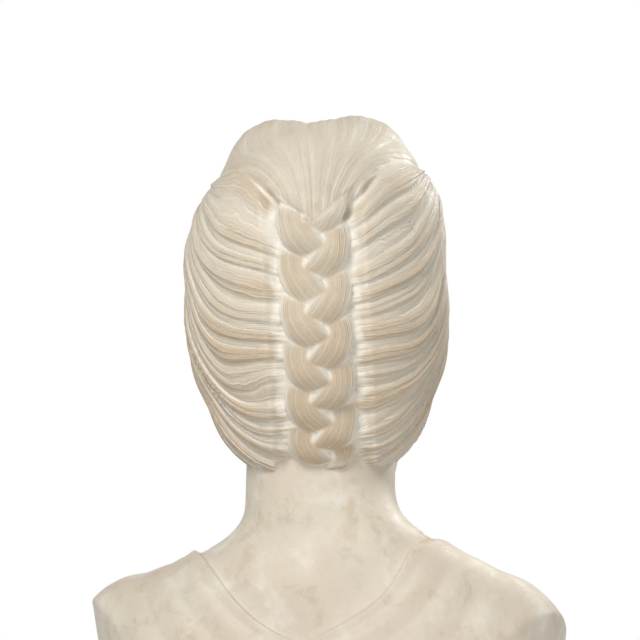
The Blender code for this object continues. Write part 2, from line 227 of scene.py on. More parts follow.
def add_mouth(clay):
    clay.add_bar((2.5, -93.4, -61.8), 4.5, (20, -86.6, -65.8), 2.5, 3.2)
    clay.add_ball((0, -93.2, -63.6), (5.5, 6, 4.0), 4)
    clay.add_bar((-7, -91.9, -72.9), 5.8, (7, -91.9, -72.9), 5.8, 3.6, paired=False)
    clay.add_bar((6, -91.9, -72.7), 5.6, (17.5, -86.6, -69.8), 3.2, 3.6)
    clay.add_bar((0, -100.4, -67.3), 1.2, (21, -90.2, -67.7), 1.0, 1.2, carve, True)
    clay.add_ball((24.5, -88.2, -67.8), (2.2, 3, 2.2), 6, carve)
    clay.add_ball((0, -94.5, -82.5), (12, 5.0, 3.0), 6, carve)
    clay.add_bar((0, -101.8, -50), 1.2, (0, -102.2, -56.0), 1.6, 4.5, carve)


# ---------------------------------------------------------------- the neck and the chest

NECK = ((2, 12, -80), 53.0, (0, 29, -200), 54.0)
SHOULDERS = (
    ((-42, 44, -180), 25.0, (-128, 34, -228), 28.0),
    ((40, 46, -200), 25.0, (128, 34, -240), 28.0),
)
TENDONS = (
    ((-52, 4, -90), 7.5, (-12, -30, -200), 6.5),
    ((50, 14, -90), 6.5, (12, -30, -200), 6.0),
)
CHEST_MASSES = (
    ((0, 30, -216), (84, 60, 48)),  # root of the neck
    ((0, 12, -312), (150, 94, 122)),  # rib cage
    ((136, 22, -280), (52, 52, 64)),  # shoulder
    ((54, -46, -322), (64, 48, 70)),  # breast
    ((0, -40, -322), (70, 46, 80)),  # between the breasts
    ((60, 56, -282), (80, 48, 80)),  # shoulder blade
    ((0, 10, -375), (150, 110, 80)),  # stone behind the lower edge
)
# Height above the bust's foot, then the half width and half depth that the chest is cut back to.
CHEST_CUT = np.array(
    [
        (0, 56, 50),
        (6, 57, 51),
        (14, 66, 58),
        (30, 98, 78),
        (55, 132, 96),
        (85, 156, 108),
        (120, 170, 116),
        (160, 176, 122),
        (200, 240, 200),
        (560, 240, 200),
    ],
    float,
)


def torso(points):
    clay = Clay(points)
    clay.add_bar(*NECK, 1, paired=False)
    for centre, radii in CHEST_MASSES:
        clay.add_ball(centre, radii, 22)
    for shoulder in SHOULDERS:
        clay.add_bar(*shoulder, 30, paired=False)
    for tendon in TENDONS:
        clay.add_bar(*tendon, 12, paired=False)
    clay.add_bar((19, -36, -209), 6.5, (112, -6, -221), 8.0, 14)
    clay.add_ball((0, -47, -204), (9, 12, 13), 14, carve)
    return clay.value - tunic(points)


NECKLINE = np.array([0.0, 8.0, -196.0])  # middle of the opening that the tunic's edge runs round
NECKLINE_SPREAD = np.array([1.0, 1.12, 1.05])
NECKLINE_R = 98.0
TUNIC_THICK = 2.6
FOLD_PERIOD = 23.0
TUNIC_TOP = -166.0  # there is no cloth above this height, where the neck is bare


def past_neckline(points):
    """(how far outside the tunic's edge, angle round the neck from the front) for each point."""
    offset = (points - NECKLINE) * NECKLINE_SPREAD
    away = np.linalg.norm(offset, axis=1)
    around = np.arctan2(np.abs(offset[:, 0]), -offset[:, 1])
    return away - NECKLINE_R - 7 * np.cos(2 * around), around


def tunic(points):
    """How far the cloth and its folds stand out from the body."""
    beyond, around = past_neckline(points)
    count = beyond / FOLD_PERIOD + 0.35 * wobble(around * 2.2, beyond / 30, 0.7)
    folds = np.abs(np.sin(math.pi * count)) ** 1.3 * fade(beyond, 4, 16)
    hem = bell(beyond, 5.0, 3.2)
    shown = fade(beyond, -1.5, 4.5) * fade(points[:, 2], TUNIC_TOP, TUNIC_TOP - 10)
    return shown * (TUNIC_THICK + 1.3 * hem + 2.4 * folds * (0.55 + 0.45 * np.sin(2.6 * around + 0.6)))


CUT_HEIGHT, CUT_X, CUT_Y = eased(CHEST_CUT, 14)


def chest_envelope(points):
    """The turned surface that the chest is cut back to."""
    height = points[:, 2] + EYES_ABOVE_FOOT
    half_x = np.interp(height, CUT_HEIGHT, CUT_X)
    half_y = np.interp(height, CUT_HEIGHT, CUT_Y)
    share = np.sqrt((points[:, 0] / half_x) ** 2 + (points[:, 1] / half_y) ** 2)
    steep = np.interp(height, [0, 14, 55, 120, 200], [0.9, 0.45, 0.6, 0.9, 1.0])
    side = (share - 1) * np.minimum(half_x, half_y) * steep
    return -join(-side, height, 2.0)


# ---------------------------------------------------------------- the hair

HAIR_MASSES = (
    ((0, 8, 37), (92, 102, 86)),  # crown
    ((0, 18, -19), (92, 92, 108)),  # back
    ((0, 30, -82), (70, 60, 50)),  # nape
    ((31, -16, 89.5), (38, 60, 39)),  # waves beside the parting
    ((54, -28, 54), (35, 51, 39)),  # temple
    ((27, -46, 72), (36, 46, 31)),  # over the forehead
)
CROWN = np.array([0, 8.0, 37.0])
CROWN_LEAN = 4.0  # the crown lies this much towards the sitter's right
CROWN_SLIM = 0.09  # and its left half is this share narrower
# The hair is hollowed for the face: (y, half width, half height) where the hollow starts and ends.
OPENING = ((-108, 67, 88), (-4, 52, 62))
OPENING_Z = -28
# In side view the hair ends along the line between these two (y, z) places.
EDGE_FRONT, EDGE_BACK = np.array([-52.0, 20.0]), np.array([30.0, -128.0])
LOCKS_REACH = 16.0  # how far from the plain hair mass the locks are worked out
BORDER_CALM = (0.8, 3.0)  # the fine lines fade out over these distances from the band's border
SEAM_CALM = (0.4, 1.4)  # and over these from a strand's edge

# Round the head from the plait (0 degrees) to the parting over the forehead (180): where the side
# locks' roots and lower ends lie, and how far they sag between.
SIDE_COURSE = np.array(
    [
        (0, 45, -128, 4),
        (12, 56, -128, 0),
        (24, 72, -128, -6),
        (34, 82, -126, -11),
        (45, 88, -118, -12),
        (55, 90, -105, -6),
        (70, 90, -78, 8),
        (90, 88, -40, 18),
        (110, 90, -12, 14),
        (135, 91, 20, 8),
        (157, 80, 50, 3),
        (180, 74, 56, 1),
    ],
    float,
)
LOCKS = 12
LOCK_DEPTH = 3.8
SIDE_ANGLE, SIDE_TOP, SIDE_LOW, SIDE_SAG = eased(SIDE_COURSE, 9)

PLAIT_PERIOD = 93.0
PLAIT_SWING = 13.0
PLAIT_LIFT = 3.0
PLAIT_PHASE = math.radians(-2.0)
STRAND_HALF_WIDTH = 11.3
STRAND_HALF_DEPTH = 5.6
PLAIT_TOP, PLAIT_FOOT = 72.0, -131.0
PLAIT_SINK = 4.5  # the strands' middle line lies this far under the hair's surface
PLAIT_REACH = 34.0  # nothing of the plait is further than this from the middle plane
PLAIT_JOINT = 3.4  # fillet between the plait and the hair
TONGUE_TIP, TONGUE_SLOPE = 45.0, 0.8  # the combed-back hair ends in a V over the plait's root


def below_tongue(points):
    return TONGUE_TIP + TONGUE_SLOPE * np.abs(points[:, 0]) - points[:, 2]


def back_profile():
    """Heights down the middle of the hair's back, with how far back, how steep and how far along each is."""
    height = np.arange(120.0, -131.0, -1.0)
    reach = np.full(len(height), -99.0)
    for (_, y, z), (_, deep, tall) in HAIR_MASSES[:3]:
        inside = np.clip(1 - ((height - z) / tall) ** 2, 0, None)
        reach = np.where(inside > 0, np.maximum(reach, y + deep * np.sqrt(inside)), reach)
    padded = np.pad(reach, 8, mode="edge")
    reach = np.convolve(padded, np.full(17, 1 / 17), mode="valid")
    slope = np.gradient(reach, height)
    length = np.cumsum(np.hypot(1, slope))
    return height[::-1], reach[::-1], slope[::-1], length[::-1]


PROFILE = back_profile()


def plait_place(points):
    """(how far along the plait, how far out from the hair under it) for points at the back."""
    height, reach, slope, length = PROFILE
    back = np.interp(points[:, 2], height, reach)
    steep = np.interp(points[:, 2], height, slope)
    out = (points[:, 1] - back + points[:, 0] ** 2 / 250) / np.hypot(1, steep)
    along = np.interp(points[:, 2], height, length) - steep / np.hypot(1, steep) * out
    return along - np.interp(PLAIT_TOP, height, length), out


def plait(points):
    """(distance, fine-line phase, crest, lead over the next strand) of three strands that cross in turn."""
    along, out = plait_place(points)
    top = fade(below_tongue(points), -9, 2)
    foot = fade(points[:, 2], PLAIT_FOOT + 30, PLAIT_FOOT + 4)
    narrow = 1 - 0.28 * foot
    base = -PLAIT_SINK - 9 * (1 - top)
    across = points[:, 0] / narrow
    best = np.full(len(points), FAR)
    phase = np.zeros(len(points))
    crest = np.zeros(len(points))
    lead = np.full(len(points), FAR)  # how much nearer the nearest strand is than the next one
    for strand in range(3):
        turn = math.tau * (along / PLAIT_PERIOD + strand / 3) + PLAIT_PHASE
        lean = PLAIT_SWING * math.tau / PLAIT_PERIOD * np.cos(turn)
        upright = 1 / np.hypot(1, lean)
        u = (across - PLAIT_SWING * np.sin(turn)) * upright / STRAND_HALF_WIDTH
        v = (out - base + PLAIT_LIFT * np.sin(2 * turn)) / STRAND_HALF_DEPTH
        gap = ((np.abs(u) ** 2.5 + np.abs(v) ** 2.5 + 1e-9) ** 0.4 - 1) * STRAND_HALF_DEPTH
        closer = gap < best
        phase = np.where(closer, u * 4.6 + 10 * strand, phase)
        crest = np.where(closer, np.sqrt(np.clip(1 - u * u, 0, 1)), crest)
        lead = np.minimum(np.where(closer, FAR, lead), np.abs(best - gap))
        best = join(best, gap, 0.8)
    return best, phase, crest, lead


def lock_profile(count):
    """A row of overlapping locks: each swells slowly towards its lower edge, then drops."""
    number = np.floor(count)
    share = count - number
    height = np.sin(math.pi * share**1.5)
    vary = 0.72 + 0.28 * np.sin(number * 2.4 + 1.0)
    return height * vary


def side_locks(points, side):
    """(height, fine-line phase, crest, how far above the border to the top band) for the side hair."""
    around = np.degrees(np.arctan2(np.abs(points[:, 0]), points[:, 1] - 10))
    top = np.interp(around, SIDE_ANGLE, SIDE_TOP) - 7 * bell(around, 18, 12) * (side < 0)
    low = np.interp(around, SIDE_ANGLE, SIDE_LOW)
    sag = np.interp(around, SIDE_ANGLE, SIDE_SAG)
    span = top - low
    rise = points[:, 2] - low
    root = np.sqrt(np.clip((span + 4 * sag) ** 2 - 16 * sag * rise, 1, None))
    share = 2 * rise / (span + 4 * sag + root)
    count = LOCKS * (1 - share)
    drift = 0.28 * wobble(around / 20, count * 0.5, 1.3 + side)
    count = count + 0.18 * np.sin(count * 1.9 + 1.3 * side) + drift
    count = count + 0.07 * wobble(around / 8, count * 1.5, 4.1 + side)
    spacing = span / LOCKS
    depth = np.minimum(LOCK_DEPTH, 0.24 * spacing)
    depth = depth * (0.70 + 0.30 * fade(around, 14, 32))
    ridge = lock_profile(count)
    minor = np.abs(np.sin(math.pi * (count * 2.7 + 0.3 * wobble(around / 15, count, 2.2))))
    height = depth * (ridge + 0.32 * minor) * fade(count, -0.1, 1.1)
    return height, count * 5.3, ridge, points[:, 2] - top


# Seen in the middle plane from the plait (0 degrees) over the top to the forehead (180): the half
# width of the band of hair that is combed back over the crown.
BAND_WIDTH = np.array(
    [(0, 20), (15, 21), (28, 33), (51, 60), (75, 73), (90, 76), (110, 72), (130, 58), (150, 40), (180, 26)],
    float,
)
BAND_ANGLE, BAND_HALF = eased(BAND_WIDTH, 8)


def top_band(points):
    """(height, fine-line phase, crest) for the hair that is combed back over the crown to the plait."""
    over = np.degrees(np.arctan2(points[:, 2] - CROWN[2], points[:, 1] - CROWN[1]))
    half = np.interp(over, BAND_ANGLE, BAND_HALF)
    share = points[:, 0] / half
    bent = share + 0.05 * wobble(over / 26, share * 2.5, 0.4)
    broad = np.abs(np.sin(math.pi * bent * 3.4 + 0.5 * np.sin(over / 13)))
    narrow = np.abs(np.sin(math.pi * bent * 9.5 + 0.8 * wobble(over / 30, share * 4, 3.1)))
    depth = np.minimum(1.1, 0.055 * half)
    height = depth * (0.62 * broad + 0.38 * narrow)
    parting = 2.4 * bell(points[:, 0], 0, 3.5) * fade(over, 75, 105)
    return height - parting, bent * 26, broad


def hair_cap(points):
    """The plain mass of the hair, without its locks, hollowed for the face and ended at the neck."""
    upper = fade(points[:, 2], 15, 100)
    lean = upper * (CROWN_LEAN + CROWN_SLIM * np.maximum(points[:, 0], 0))
    clay = Clay(points + lean[:, None] * [1, 0, 0])
    for centre, radii in HAIR_MASSES:
        clay.add_ball(centre, radii, 14)
    value = clay.value
    y, z = points[:, 1], points[:, 2]
    (front, wide, tall), (back, narrow, short) = OPENING
    half_x = np.interp(y, [front, back], [wide, narrow])
    half_z = np.interp(y, [front, back], [tall, short])
    ring = (np.hypot(points[:, 0] / half_x, (z - OPENING_Z) / half_z) - 1) * half_x
    ring = np.where(y > back, ring + (y - back), ring)
    value = carve(value, ring, 8)
    edge = EDGE_BACK - EDGE_FRONT
    edge = edge / np.linalg.norm(edge)
    above = (y - EDGE_FRONT[0]) * -edge[1] + (z - EDGE_FRONT[1]) * edge[0]
    return carve(value, above, 10)


def hair(points):
    """(distance, fine-line phase, crest, how clear of a seam) of the whole hair."""
    value = hair_cap(points)
    phase, crest, clear = np.zeros(len(points)), np.zeros(len(points)), np.ones(len(points))
    chosen = np.flatnonzero(np.abs(value) < LOCKS_REACH)
    near = points[chosen]
    side = np.sign(near[:, 0])
    side_height, side_phase, side_crest, above = side_locks(near, side)
    band_height, band_phase, band_crest = top_band(near)
    in_band = fade(above, -2.0, 2.5)
    height = side_height * (1 - in_band) + band_height * in_band
    around = np.degrees(np.arctan2(np.abs(near[:, 0]), near[:, 1] - 10))
    groove = (1.2 + 4.5 * bell(around, 16, 10)) * bell(above, 0, 4.5) * fade(around, 118, 80)
    trench_wall = fade(np.abs(near[:, 0]), 37, 22.5) * (near[:, 1] > 0)
    trench = 7.0 * trench_wall * fade(below_tongue(near), -5, 5)
    value[chosen] += groove + trench - height
    phase[chosen] = np.where(above > 0, band_phase, side_phase)
    crest[chosen] = np.where(above > 0, band_crest, side_crest)
    clear[chosen] = fade(np.abs(above), *BORDER_CALM)

    in_height = (points[:, 2] > PLAIT_FOOT - 5) & (points[:, 2] < PLAIT_TOP + 12)
    chosen = np.flatnonzero((np.abs(points[:, 0]) < PLAIT_REACH) & (points[:, 1] > 20) & in_height)
    gap, plait_phase, plait_crest, lead = plait(points[chosen])
    over = gap < value[chosen]
    apart = np.minimum(np.abs(gap - value[chosen]), np.where(over, lead, FAR))
    clear[chosen] = np.where(over, 1, clear[chosen]) * fade(apart, *SEAM_CALM)
    phase[chosen] = np.where(over, plait_phase, phase[chosen])
    crest[chosen] = np.where(over, plait_crest, crest[chosen])
    value[chosen] = join(value[chosen], gap, PLAIT_JOINT)
    return value, phase, crest, clear


# ---------------------------------------------------------------- the whole bust


def head_place(points):
    """The same points seen from the head, which is turned and tilted about the neck."""
    return (points - NECK_PIVOT) @ HEAD_AXES + NECK_PIVOT


def sculpt(points):
    """The distance of the whole bust."""
    value = torso(points)
    chosen = np.flatnonzero(points[:, 2] > HEAD_FLOOR)
    head = head_place(points[chosen])
    value[chosen] = join(face(head), value[chosen], NECK_BLEND)
    value[chosen] = join(value[chosen], hair(head)[0], 1.2)
    return -join(-value, -chest_envelope(points), 2.0)


# ---------------------------------------------------------------- from distance to mesh


def coarse_surface(measure, low, high, step):
    """A first skin of triangles over measure's zero, on a grid of this step."""
    axes = [np.arange(a, b + step, step) for a, b in zip(low, high)]
    shape = [len(axis) for axis in axes]
    grid = np.stack(np.meshgrid(*axes, indexing="ij"), axis=-1).reshape(-1, 3)
    values = np.empty(len(grid), np.float32)
    piece = 400000
    for start in range(0, len(grid), piece):
        values[start : start + piece] = measure(grid[start : start + piece])
    volume = openvdb.FloatGrid(background=float(FAR))
    volume.copyFromArray(np.clip(values.reshape(shape), -3 * step, 3 * step))
    points, triangles, quads = volume.convertToPolygons(isovalue=0.0, adaptivity=0.0)
    points = np.array(low) + points * step
    halves = np.concatenate([quads[:, [0, 1, 2]], quads[:, [0, 2, 3]]]) if len(quads) else quads
    faces = np.concatenate([triangles, halves]) if len(triangles) else halves
    return points.astype(float), faces[:, ::-1].astype(np.int64)


def gradient(measure, points, reach):
    corners = np.array([[1, -1, -1], [-1, -1, 1], [-1, 1, -1], [1, 1, 1]], float)
    total = np.zeros_like(points)
    for corner in corners:
        total += corner * measure(points + corner * reach)[:, None]
    return total / (4 * reach)


def settle(measure, points, rounds, reach=0.35, limit=1.2):
    """Moves each point onto measure's zero."""
    for _ in range(rounds):
        slope = gradient(measure, points, reach)
        steep = np.maximum((slope**2).sum(axis=1), 0.2)
        move = -slope * (measure(points) / steep)[:, None]
        size = np.linalg.norm(move, axis=1)
        move *= np.minimum(1, limit / np.maximum(size, 1e-9))[:, None]
        points = points + move
    return points


def split(points, faces, chosen):
    """Halves every edge of the chosen triangles, and cuts their neighbours to meet the new points."""
    edges = np.sort(faces[:, [[0, 1], [1, 2], [2, 0]]], axis=2)
    code = edges[..., 0] * len(points) + edges[..., 1]
    cut = np.unique(code[chosen])
    middles = (points[cut // len(points)] + points[cut % len(points)]) / 2
    where = np.searchsorted(cut, code)
    where[where == len(cut)] = 0
    hit = cut[where] == code
    middle = np.where(hit, len(points) + where, -1)
    count = hit.sum(axis=1)
    made = [faces[count == 0]]

    a, b, c = faces[count == 3].T
    ab, bc, ca = middle[count == 3].T
    made += [np.stack(t, 1) for t in ((a, ab, ca), (ab, b, bc), (ca, bc, c), (ab, bc, ca))]

    for first in range(3):
        order = [first, (first + 1) % 3, (first + 2) % 3]
        one = (count == 1) & hit[:, first]
        a, b, c = faces[one][:, order].T
        ab = middle[one][:, first]
        made += [np.stack(t, 1) for t in ((a, ab, c), (ab, b, c))]
        two = (count == 2) & ~hit[:, order[2]]
        a, b, c = faces[two][:, order].T
        ab, bc = middle[two][:, order[0]], middle[two][:, order[1]]
        made += [np.stack(t, 1) for t in ((ab, b, bc), (a, ab, bc), (a, bc, c))]
    return np.concatenate([points, middles]), np.concatenate(made)


def mesh_object(name, points, faces, fields=None):
    """A smooth object from points in metres, with a number on each point for every field."""
    mesh = bpy.data.meshes.new(name)
    mesh.vertices.add(len(points))
    mesh.vertices.foreach_set("co", points.astype(np.float32).ravel())
    mesh.loops.add(faces.size)
    mesh.loops.foreach_set("vertex_index", faces.astype(np.int32).ravel())
    mesh.polygons.add(len(faces))
    mesh.polygons.foreach_set("loop_start", np.arange(0, faces.size, 3, dtype=np.int32))
    mesh.update(calc_edges=True)
    mesh.validate()
    mesh.shade_smooth()
    for field, values in (fields or {}).items():
        layer = mesh.attributes.new(field, "FLOAT", "POINT")
        layer.data.foreach_set("value", values.astype(np.float32))
    made = bpy.data.objects.new(name, mesh)
    bpy.context.scene.collection.objects.link(made)
    return made


# ---------------------------------------------------------------- the carved bust

HEM_MIDDLE, HEM_REACH = 2.5, 9.0  # the strip along the tunic's edge that gets the finest triangles
BUST_MARGIN = 9.0  # the grid goes this far past the bust's box


def near_hem(centres):
    return (np.abs(past_neckline(centres)[0] - HEM_MIDDLE) < HEM_REACH) & (centres[:, 2] < TUNIC_TOP + 6)


def head_region(centres):
    """The head, and the upper folds of the tunic."""
    folds = (centres[:, 2] > -300) & (past_neckline(centres)[0] > -9)
    return (centres[:, 2] > HEAD_FLOOR) | folds


def fine_region(centres):
    """The features, the hair behind its front edge, and the tunic's edge."""
    head = head_place(centres)
    x, y, z = np.abs(head[:, 0]), head[:, 1], head[:, 2]
    features = (y < -60) & (z > -92) & (z < 28) & (x < 52)
    hair_edge = np.interp(z, [-130, 20, 60, 90], [24, -56, -75, -100])
    return features | (y > hair_edge) & (z > -132) | near_hem(centres)


def hollowness(points):
    """How enclosed each point of the surface is: below 0 on a crest, 0 on a plain, 1 deep in a crease."""
    normals = gradient(sculpt, points, 0.35)
    normals /= np.maximum(np.linalg.norm(normals, axis=1), 1e-6)[:, None]
    total = np.zeros(len(points))
    for reach, weight in ((1.5, 0.4), (4.0, 0.35), (9.0, 0.25)):
        total += weight * (1 - sculpt(points + normals * reach) / reach)
    return np.clip(total, -1, 1)


def marks(points):
    """What the marble's colours need at points of the surface, by name."""
    head = head_place(points)
    value, phase, crest, clear = hair(head)
    flesh = join(face(head), torso(points), NECK_BLEND)
    around = np.degrees(np.arctan2(np.abs(head[:, 0]), head[:, 1] - 10))
    combed_back = fade(head[:, 2] - np.interp(around, SIDE_ANGLE, SIDE_TOP), -2, 3)
    hairy = fade(flesh - value, 0.0, 1.5) * (1 - 0.45 * combed_back)
    return {"strand": phase, "crest": crest, "clear": clear, "hairy": hairy, "hollow": hollowness(points)}


def carve_bust():
    """A coarse skin over the sculpture, made finer where the carving is, with what its colours need."""
    low = np.array([BUST_LOW.x, BUST_LOW.y, 0]) / MM - BUST_MARGIN
    high = np.array([BUST_HIGH.x, BUST_HIGH.y, 0]) / MM + BUST_MARGIN
    low[2] = -EYES_ABOVE_FOOT - BUST_MARGIN
    high[2] = (BUST_HIGH.z / MM - EYE_LEVEL) + BUST_MARGIN
    points, faces = coarse_surface(sculpt, low, high, COARSE_STEP)
    points = settle(sculpt, points, 2)
    levels = (((head_region, 3), (fine_region, 3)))
    for region, rounds in levels:
        centres = points[faces].mean(axis=1)
        points, faces = split(points, faces, region(centres))
        points = settle(sculpt, points, rounds)
    fields = marks(points)
    world = points.copy()
    world[:, 2] += EYE_LEVEL
    return mesh_object("bust_marble", world * MM, faces, fields)


# ---------------------------------------------------------------- the stand

SOCLE_LOW, SOCLE_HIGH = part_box("socle")
PLINTH_LOW, PLINTH_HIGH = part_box("plinth")
SOCLE_FOOT_R, SOCLE_WAIST_R, SOCLE_HEAD_R = 84.0, 43.0, 66.0
FOOT_TORUS_R, HEAD_TORUS_R = 12.0, 8.0
FILLET_STEP, FILLET_HEIGHT = 3.0, 4.0
WAIST_SHARE = 0.62
BORE_R = 9.0
RECESS_R, RECESS_DEEP = 19.5, 16.0
PLINTH_HALF = 95.0
ROUND_STEPS = 168
SQUARENESS = 40  # the power of the plinth's superellipse
STRAIGHT = -0.94  # cosine past which two edges count as one line
SHARP_ANGLE = math.radians(32)


def arc(centre, radius, start, end, steps):
    turns = [math.radians(start + (end - start) * step / steps) for step in range(steps + 1)]
    return [(centre[0] + radius * math.cos(t), centre[1] + radius * math.sin(t)) for t in turns]


def socle_outline():
    """(radius, height) from the foot up: torus, fillet, hollow, fillet and torus, then the bore."""
    low, high = SOCLE_LOW.z / MM, SOCLE_HIGH.z / MM
    foot_r, head_r = SOCLE_FOOT_R - FOOT_TORUS_R, SOCLE_HEAD_R - HEAD_TORUS_R
    foot_top, head_bottom = low + 2 * FOOT_TORUS_R, high - 2 * HEAD_TORUS_R
    outline = [(BORE_R, low)]
    outline += arc((foot_r, low + FOOT_TORUS_R), FOOT_TORUS_R, -90, 90, 20)
    outline += [(foot_r - FILLET_STEP, foot_top), (foot_r - FILLET_STEP, foot_top + FILLET_HEIGHT)]
    start, end = foot_top + FILLET_HEIGHT, head_bottom - FILLET_HEIGHT
    for share in np.linspace(0, 1, 44):
        radius = SOCLE_WAIST_R
        radius += (foot_r - 2 * FILLET_STEP - SOCLE_WAIST_R) * max(0, 1 - share / WAIST_SHARE) ** 2.2
        rise = max(0, (share - WAIST_SHARE) / (1 - WAIST_SHARE))
        radius += (head_r - FILLET_STEP - SOCLE_WAIST_R) * rise**2.0
        outline.append((radius, start + share * (end - start)))
    outline += [(head_r, end), (head_r, head_bottom)]
    outline += arc((head_r, high - HEAD_TORUS_R), HEAD_TORUS_R, -90, 90, 16)[1:]
    outline.append((BORE_R, high))
    return outline


def plinth_outline():
    """(half width, height) up the outside, then down the bore and the recess for the nut."""
    low, high = PLINTH_LOW.z / MM, PLINTH_HIGH.z / MM
    deep = low + RECESS_DEEP
    outside = [(RECESS_R, low), (PLINTH_HALF, low), (PLINTH_HALF, high)]
    return outside + [(BORE_R, high), (BORE_R, deep), (RECESS_R, deep)]


def eased_corners(outline, radius, steps=4):
    """The closed outline with every sharp corner worn round."""
    worn = []
    for before, corner, after in zip(outline[-1:] + outline[:-1], outline, outline[1:] + outline[:1]):
        before, corner, after = (np.array(point) for point in (before, corner, after))
        back, ahead = before - corner, after - corner
        lengths = np.linalg.norm(back), np.linalg.norm(ahead)
        bend = back @ ahead / (lengths[0] * lengths[1])
        if bend < STRAIGHT:
            worn.append(tuple(corner))
            continue
        reach = min(radius, 0.45 * min(lengths))
        start, end = corner + back / lengths[0] * reach, corner + ahead / lengths[1] * reach
        for share in np.linspace(0, 1, steps + 1):
            point = (1 - share) ** 2 * start + 2 * share * (1 - share) * corner + share**2 * end
            worn.append(tuple(point))
    return worn


def stone_ring(name, outline, square_beyond=None):
    """A block turned about Z from its outline. Rings wider than square_beyond are square, corners rounded."""
    turns = np.arange(ROUND_STEPS) * math.tau / ROUND_STEPS + math.pi / ROUND_STEPS
    points = []
    for radius, height in outline:
        reach = np.full(ROUND_STEPS, radius)
        if square_beyond is not None and radius > square_beyond:
            power = SQUARENESS
            reach = radius * (np.abs(np.cos(turns)) ** power + np.abs(np.sin(turns)) ** power) ** (-1 / power)
        x, y = reach * np.cos(turns), reach * np.sin(turns)
        points.append(np.stack([x, y, np.full(ROUND_STEPS, height)], axis=1))
    points = np.concatenate(points)
    worn = 0.12 * wobble(points[:, 0] / 11 + points[:, 2] / 7, points[:, 1] / 11 - points[:, 2] / 9, 0.9)
    outer = fade(np.hypot(points[:, 0], points[:, 1]), 36, 42)
    points[:, :2] *= (1 - np.abs(worn) * outer / 90)[:, None]
    ring, step = np.meshgrid(np.arange(len(outline)), np.arange(ROUND_STEPS), indexing="ij")
    next_ring, next_step = (ring + 1) % len(outline), (step + 1) % ROUND_STEPS
    a, b = ring * ROUND_STEPS + step, ring * ROUND_STEPS + next_step
    c, d = next_ring * ROUND_STEPS + next_step, next_ring * ROUND_STEPS + step
    quads = np.stack([a, b, c, d], axis=-1).reshape(-1, 4)
    faces = np.concatenate([quads[:, [0, 1, 2]], quads[:, [0, 2, 3]]])
    made = mesh_object(name, points * MM, faces)
    made.data.set_sharp_from_angle(angle=SHARP_ANGLE)
    return made


# ---------------------------------------------------------------- materials


class Paint:
    """One material's nodes. Numbers and colours can stand wherever another node's output can."""

    def __init__(self, name, **constants):
        self.material = bpy.data.materials.new(name)
        self.material.use_nodes = True
        self.tree = self.material.node_tree
        self.shader = self.tree.nodes["Principled BSDF"]
        for socket, value in constants.items():
            self.shader.inputs[socket.replace("_", " ")].default_value = value
        coords = self.tree.nodes.new("ShaderNodeTexCoord")
        self.place = coords.outputs["Object"]

    def node(self, kind, settings=None, **inputs):
        made = self.tree.nodes.new("ShaderNode" + kind)
        for name, value in (settings or {}).items():
            setattr(made, name, value)
        for name, value in inputs.items():
            self.feed(made.inputs[name.replace("_", " ")], value)
        return made

    def feed(self, socket, value):
        if isinstance(value, bpy.types.NodeSocket):
            self.tree.links.new(value, socket)
        else:
            socket.default_value = value

    def field(self, name):
        return self.node("Attribute", {"attribute_name": name}).outputs["Fac"]

    def maths(self, operation, a, b=0.0):
        made = self.tree.nodes.new("ShaderNodeMath")
        made.operation = operation
        self.feed(made.inputs[0], a)
        self.feed(made.inputs[1], b)
        return made.outputs[0]

    def add(self, a, b):
        return self.maths("ADD", a, b)

    def times(self, a, b):
        return self.maths("MULTIPLY", a, b)

    def noise(self, size, detail=3.0, roughness=0.55, distortion=0.0):
        """Cloudy variation whose patches are about size metres across."""
        made = self.node("TexNoise", Vector=self.place, Scale=1 / size, Detail=detail)
        made.inputs["Roughness"].default_value = roughness
        made.inputs["Distortion"].default_value = distortion
        return made.outputs["Fac"]

    def ramp(self, value, low, high, start=0.0, end=1.0):
        made = self.node("MapRange", {"interpolation_type": "SMOOTHSTEP"}, Value=value)
        for socket, number in (("From Min", low), ("From Max", high), ("To Min", start), ("To Max", end)):
            made.inputs[socket].default_value = number
        return made.outputs[0]

    def mix(self, share, a, b):
        made = self.node("Mix", {"data_type": "RGBA"})
        self.feed(made.inputs["Factor"], share)
        for socket, value in ((made.inputs[6], a), (made.inputs[7], b)):
            self.feed(socket, (*value, 1.0) if isinstance(value, tuple) else value)
        return made.outputs[2]

    def finish(self, colour, roughness, height, depth=0.001):
        self.feed(self.shader.inputs["Base Color"], colour)
        self.feed(self.shader.inputs["Roughness"], roughness)
        bump = self.node("Bump", Height=height, Distance=depth, Strength=1.0)
        self.feed(self.shader.inputs["Normal"], bump.outputs[0])
        return self.material


MARBLE_IOR = 1.486
THREAD_PITCH = 0.00175

CREAM = (0.690, 0.625, 0.510)
TAN = (0.500, 0.375, 0.235)
PALE = (0.815, 0.775, 0.690)
BROWN = (0.400, 0.280, 0.170)
GREY = (0.520, 0.505, 0.455)
OCHRE = (0.600, 0.440, 0.190)
ROSE = (0.640, 0.535, 0.430)

# Single marks on the back of the hair: (centre on the unturned head, radius, strength, colour).
BLEMISHES = (
    ((-4, 84, 112), 13, 0.40, GREY),
    ((-9, 105, 87), 9, 0.45, OCHRE),
    ((-16, 112, 5), 6, 0.55, BROWN),
    ((53, 88, 105), 2.5, 0.5, BROWN),
)


def spot(paint, centre, radius):
    """1 at a place on the unturned head, falling to 0 at the radius, with a ragged edge."""
    head = TURN @ (Vector(centre) - Vector(NECK_PIVOT)) + Vector(NECK_PIVOT)
    world = Vector((head.x, head.y, head.z + EYE_LEVEL)) * MM
    away = paint.node("VectorMath", {"operation": "DISTANCE"})
    paint.feed(away.inputs[0], paint.place)
    away.inputs[1].default_value = world
    ragged = paint.times(paint.add(paint.noise(0.006, 4, 0.6), -0.5), radius * MM * 1.6)
    return paint.ramp(paint.add(away.outputs["Value"], ragged), radius * MM, 0.25 * radius * MM)


